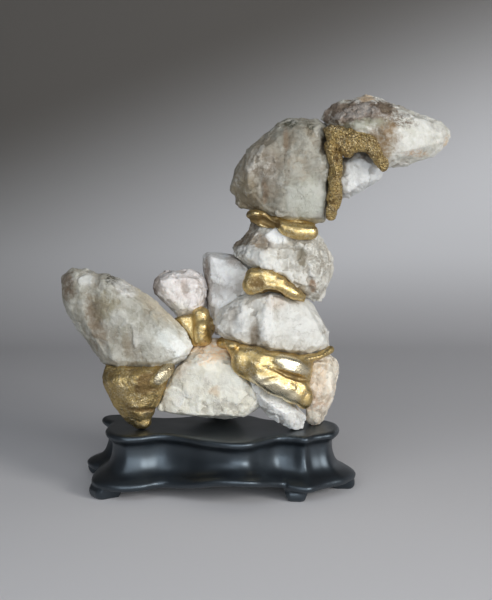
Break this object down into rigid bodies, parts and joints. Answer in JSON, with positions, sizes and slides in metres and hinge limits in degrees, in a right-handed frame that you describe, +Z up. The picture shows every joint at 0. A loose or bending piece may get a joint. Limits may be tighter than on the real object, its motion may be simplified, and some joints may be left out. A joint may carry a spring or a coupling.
{
  "type": "scholars rock",
  "caption": "Scholars rock of broken quartz stones joined with gilded putty into a leaning, beaked shape, resting on a lobed black lacquered stand.",
  "frame": {"origin": "under the middle of the object's box, on the plane of the stand's soles", "axes": "+Z up, +X towards the beak of the crest stone, -Y towards the viewer"},
  "size_m": [0.3864, 0.1598, 0.3888],
  "materials": {
    "quartz": "broken white quartz, sugary and slightly translucent, with grey, tan and brown stains",
    "stained_quartz": "broken cream quartz with peach and rust stains",
    "gilding": "epoxy putty under gold leaf, burnished in places and grainy in others",
    "lacquer": "carved wood under satin black lacquer"
  },
  "bodies": {
    "root": {"stand": "lacquer", "leaning_stone": "quartz", "broad_stone": "quartz", "middle_stone": "quartz", "shoulder_stone": "quartz", "slab_stone": "quartz", "small_stone": "quartz", "crest_stone": "quartz", "chin_stone": "quartz", "base_stone": "stained_quartz", "heel_stone": "stained_quartz", "sliver_stone": "quartz", "gold_foot": "gilding", "gold_saddle": "gilding", "gold_roll": "gilding", "gold_neck": "gilding", "gold_seam": "gilding", "gold_belt": "gilding"}
  },
  "joints": []
}
